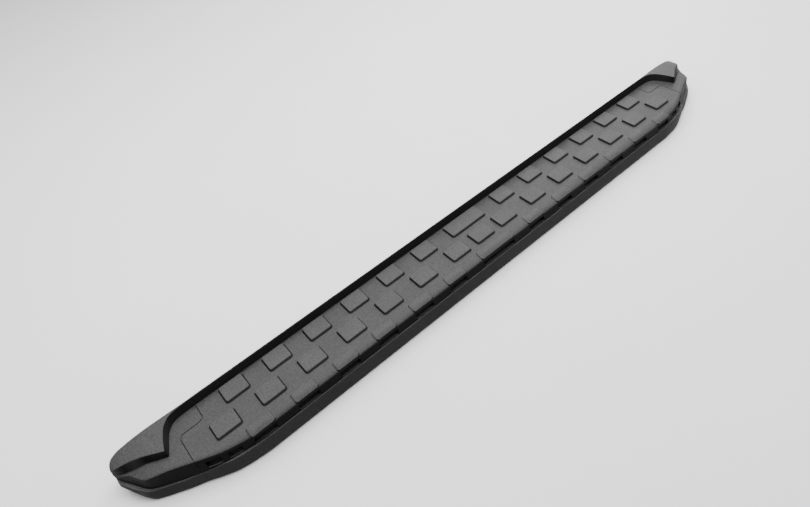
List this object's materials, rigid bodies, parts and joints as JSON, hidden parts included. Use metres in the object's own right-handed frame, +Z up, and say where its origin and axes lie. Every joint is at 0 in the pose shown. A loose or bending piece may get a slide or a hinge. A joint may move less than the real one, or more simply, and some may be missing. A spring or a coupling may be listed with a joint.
{
  "type": "running board",
  "caption": "Fixed vehicle side step: black moulded tread cover with oblong pads and a low back wall, slotted fascia, winged end caps and an aluminium beam underneath.",
  "frame": {"origin": "middle of the footprint, on the surface the board rests on", "axes": "+X along the board, +Y inboard towards the vehicle, +Z up"},
  "size_m": [1.946, 0.1797, 0.091],
  "materials": {
    "textured_black": "fine-grained moulded plastic",
    "inner_black": "plain moulded plastic",
    "beam_aluminium": "mill-finish extrusion",
    "coated_steel": "black powder coat",
    "zinc_steel": "zinc plated",
    "black_rubber": "matte moulded rubber"
  },
  "bodies": {
    "root": {"bracket_plate_1": "coated_steel", "bracket_plate_2": "coated_steel", "bracket_plate_3": "coated_steel", "bracket_plate_4": "coated_steel", "cover_support_1": "inner_black", "cover_support_2": "inner_black", "cover_support_3": "inner_black", "cover_support_4": "inner_black", "cover_support_5": "inner_black", "cover_support_6": "inner_black", "deck_beam": "beam_aluminium", "flange_nut_1": "zinc_steel", "flange_nut_2": "zinc_steel", "flange_nut_3": "zinc_steel", "flange_nut_4": "zinc_steel", "flange_nut_5": "zinc_steel", "flange_nut_6": "zinc_steel", "flange_nut_7": "zinc_steel", "flange_nut_8": "zinc_steel", "isolator_pad_1": "black_rubber", "isolator_pad_2": "black_rubber", "isolator_pad_3": "black_rubber", "isolator_pad_4": "black_rubber", "left_beam_plug": "inner_black", "left_cap_screw_1": "zinc_steel", "left_cap_screw_2": "zinc_steel", "left_end_cap": "textured_black", "lower_trim": "textured_black", "outer_fascia": "textured_black", "push_clip_1": "inner_black", "push_clip_2": "inner_black", "push_clip_3": "inner_black", "push_clip_4": "inner_black", "push_clip_5": "inner_black", "push_clip_6": "inner_black", "right_beam_plug": "inner_black", "right_cap_screw_1": "zinc_steel", "right_cap_screw_2": "zinc_steel", "right_end_cap": "textured_black", "t_bolt_1": "zinc_steel", "t_bolt_2": "zinc_steel", "t_bolt_3": "zinc_steel", "t_bolt_4": "zinc_steel", "t_bolt_5": "zinc_steel", "t_bolt_6": "zinc_steel", "t_bolt_7": "zinc_steel", "t_bolt_8": "zinc_steel", "tread_cover": "textured_black"}
  },
  "joints": []
}
